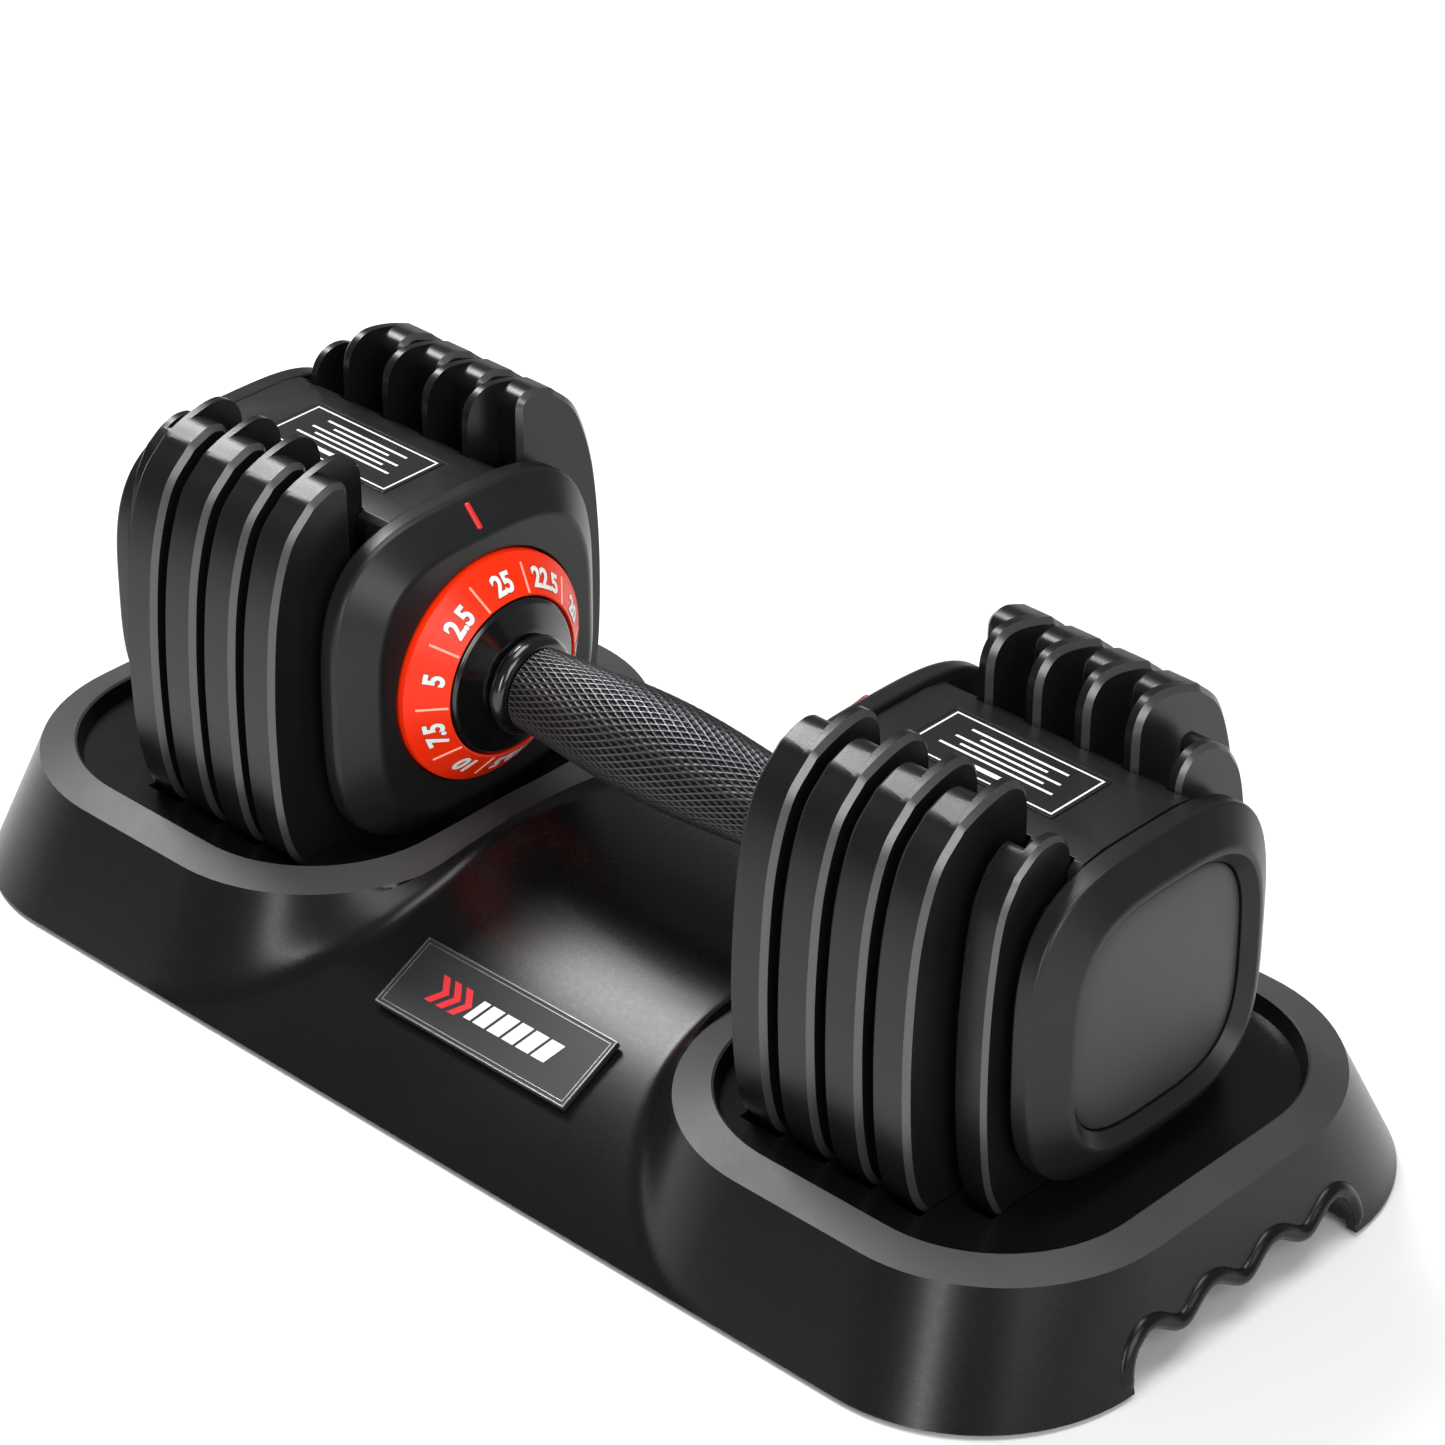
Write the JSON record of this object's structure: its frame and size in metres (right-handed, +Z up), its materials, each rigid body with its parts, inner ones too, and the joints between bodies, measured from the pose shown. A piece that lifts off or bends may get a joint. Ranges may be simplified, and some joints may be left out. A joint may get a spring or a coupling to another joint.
{
  "type": "adjustable dumbbell with storage tray",
  "caption": "Twist-handle adjustable dumbbell with selectable slab plates and orange number dials, resting on its black moulded storage tray.",
  "frame": {"origin": "floor level under the middle of the tray, at the bottom of the rubber feet", "axes": "+X along the handle, +Y to the back (the badge is at the front, -Y), +Z up"},
  "size_m": [0.4352, 0.2036, 0.153],
  "materials": {
    "cover": "satin moulded black with a fine grain",
    "index_red": "moulded red insert",
    "label": "printed film, satin clear coat",
    "end_panel": "textured grey insert",
    "steel": "zinc-plated steel",
    "nylon": "natural glass-filled nylon",
    "hub_gloss": "glossy black",
    "dial_orange": "orange with white numbers in dark outline",
    "coated_plate": "satin black powder coat on steel",
    "grip_steel": "blackened steel with a fine diamond knurl",
    "tray": "satin moulded black",
    "rubber": "matt rubber"
  },
  "bodies": {
    "tray": {"tray": "tray", "badge": "label", "foot_right_back": "rubber", "foot_right_front": "rubber", "foot_left_back": "rubber", "foot_left_front": "rubber"},
    "core": {"inner_cover_right": "cover", "inner_cover_left": "cover", "index_mark_right": "index_red", "index_mark_left": "index_red", "bridge_right": "cover", "bridge_left": "cover", "label_right": "label", "label_left": "label", "end_cover_right": "cover", "end_cover_left": "cover", "end_panel_right": "end_panel", "end_panel_left": "end_panel", "cover_screw_front_right": "steel", "cover_screw_front_left": "steel", "cover_screw_back_right": "steel", "cover_screw_back_left": "steel", "end_bush_right": "nylon", "end_bush_left": "nylon", "lock_spring_right": "steel", "lock_spring_left": "steel"},
    "handle": {"drive_shaft": "steel", "grip": "grip_steel", "hub_right": "hub_gloss", "hub_left": "hub_gloss", "dial_right": "dial_orange", "dial_left": "dial_orange", "lock_wheel_right": "nylon", "lock_wheel_left": "nylon", "lock_nut_right": "steel", "lock_nut_left": "steel", "selector_1_right": "nylon", "selector_1_left": "nylon", "selector_2_right": "nylon", "selector_2_left": "nylon", "selector_3_right": "nylon", "selector_3_left": "nylon", "selector_4_right": "nylon", "selector_4_left": "nylon", "selector_small_right": "nylon", "selector_small_left": "nylon"},
    "lock_right": {"lock_slider_right": "nylon"},
    "lock_left": {"lock_slider_left": "nylon"},
    "plate_1_right": {"plate_1_right": "coated_plate"},
    "plate_1_left": {"plate_1_left": "coated_plate"},
    "plate_2_right": {"plate_2_right": "coated_plate"},
    "plate_2_left": {"plate_2_left": "coated_plate"},
    "plate_3_right": {"plate_3_right": "coated_plate"},
    "plate_3_left": {"plate_3_left": "coated_plate"},
    "plate_4_right": {"plate_4_right": "coated_plate"},
    "plate_4_left": {"plate_4_left": "coated_plate"},
    "plate_small_right": {"plate_small_right": "coated_plate"},
    "plate_small_left": {"plate_small_left": "coated_plate"}
  },
  "joints": [
    {"name": "dumbbell_lift", "type": "slide", "parent": "tray", "child": "core", "axis": [0, 0, 1], "range_m": [0, 0.15]},
    {"name": "handle_turn", "type": "hinge", "parent": "core", "child": "handle", "pos_m": [0, 0, 0.084], "axis": [1, 0, 0], "range_deg": [0, 324]},
    {"name": "lock_release_right", "type": "slide", "parent": "core", "child": "lock_right", "axis": [0, 0, 1], "range_m": [-0.005, 0], "deforming": ["lock_spring_right"]},
    {"name": "lock_release_left", "type": "slide", "parent": "core", "child": "lock_left", "axis": [0, 0, 1], "range_m": [-0.005, 0], "deforming": ["lock_spring_left"]},
    {"name": "plate_1_lift_right", "type": "slide", "parent": "tray", "child": "plate_1_right", "axis": [0, 0, 1], "range_m": [0, 0.15]},
    {"name": "plate_1_lift_left", "type": "slide", "parent": "tray", "child": "plate_1_left", "axis": [0, 0, 1], "range_m": [0, 0.15]},
    {"name": "plate_2_lift_right", "type": "slide", "parent": "tray", "child": "plate_2_right", "axis": [0, 0, 1], "range_m": [0, 0.15]},
    {"name": "plate_2_lift_left", "type": "slide", "parent": "tray", "child": "plate_2_left", "axis": [0, 0, 1], "range_m": [0, 0.15]},
    {"name": "plate_3_lift_right", "type": "slide", "parent": "tray", "child": "plate_3_right", "axis": [0, 0, 1], "range_m": [0, 0.15]},
    {"name": "plate_3_lift_left", "type": "slide", "parent": "tray", "child": "plate_3_left", "axis": [0, 0, 1], "range_m": [0, 0.15]},
    {"name": "plate_4_lift_right", "type": "slide", "parent": "tray", "child": "plate_4_right", "axis": [0, 0, 1], "range_m": [0, 0.15]},
    {"name": "plate_4_lift_left", "type": "slide", "parent": "tray", "child": "plate_4_left", "axis": [0, 0, 1], "range_m": [0, 0.15]},
    {"name": "plate_small_lift_right", "type": "slide", "parent": "tray", "child": "plate_small_right", "axis": [0, 0, 1], "range_m": [0, 0.15]},
    {"name": "plate_small_lift_left", "type": "slide", "parent": "tray", "child": "plate_small_left", "axis": [0, 0, 1], "range_m": [0, 0.15]}
  ],
  "couplings": [
    {"joint": "lock_release_right", "follows": "dumbbell_lift", "ratio": -0.033333},
    {"joint": "lock_release_left", "follows": "dumbbell_lift", "ratio": -0.033333},
    {"joint": "plate_1_lift_right", "follows": "dumbbell_lift", "ratio": 1},
    {"joint": "plate_1_lift_left", "follows": "dumbbell_lift", "ratio": 1},
    {"joint": "plate_2_lift_right", "follows": "dumbbell_lift", "ratio": 1},
    {"joint": "plate_2_lift_left", "follows": "dumbbell_lift", "ratio": 1},
    {"joint": "plate_3_lift_right", "follows": "dumbbell_lift", "ratio": 1},
    {"joint": "plate_3_lift_left", "follows": "dumbbell_lift", "ratio": 1},
    {"joint": "plate_4_lift_right", "follows": "dumbbell_lift", "ratio": 1},
    {"joint": "plate_4_lift_left", "follows": "dumbbell_lift", "ratio": 1},
    {"joint": "plate_small_lift_right", "follows": "dumbbell_lift", "ratio": 1},
    {"joint": "plate_small_lift_left", "follows": "dumbbell_lift", "ratio": 1}
  ]
}
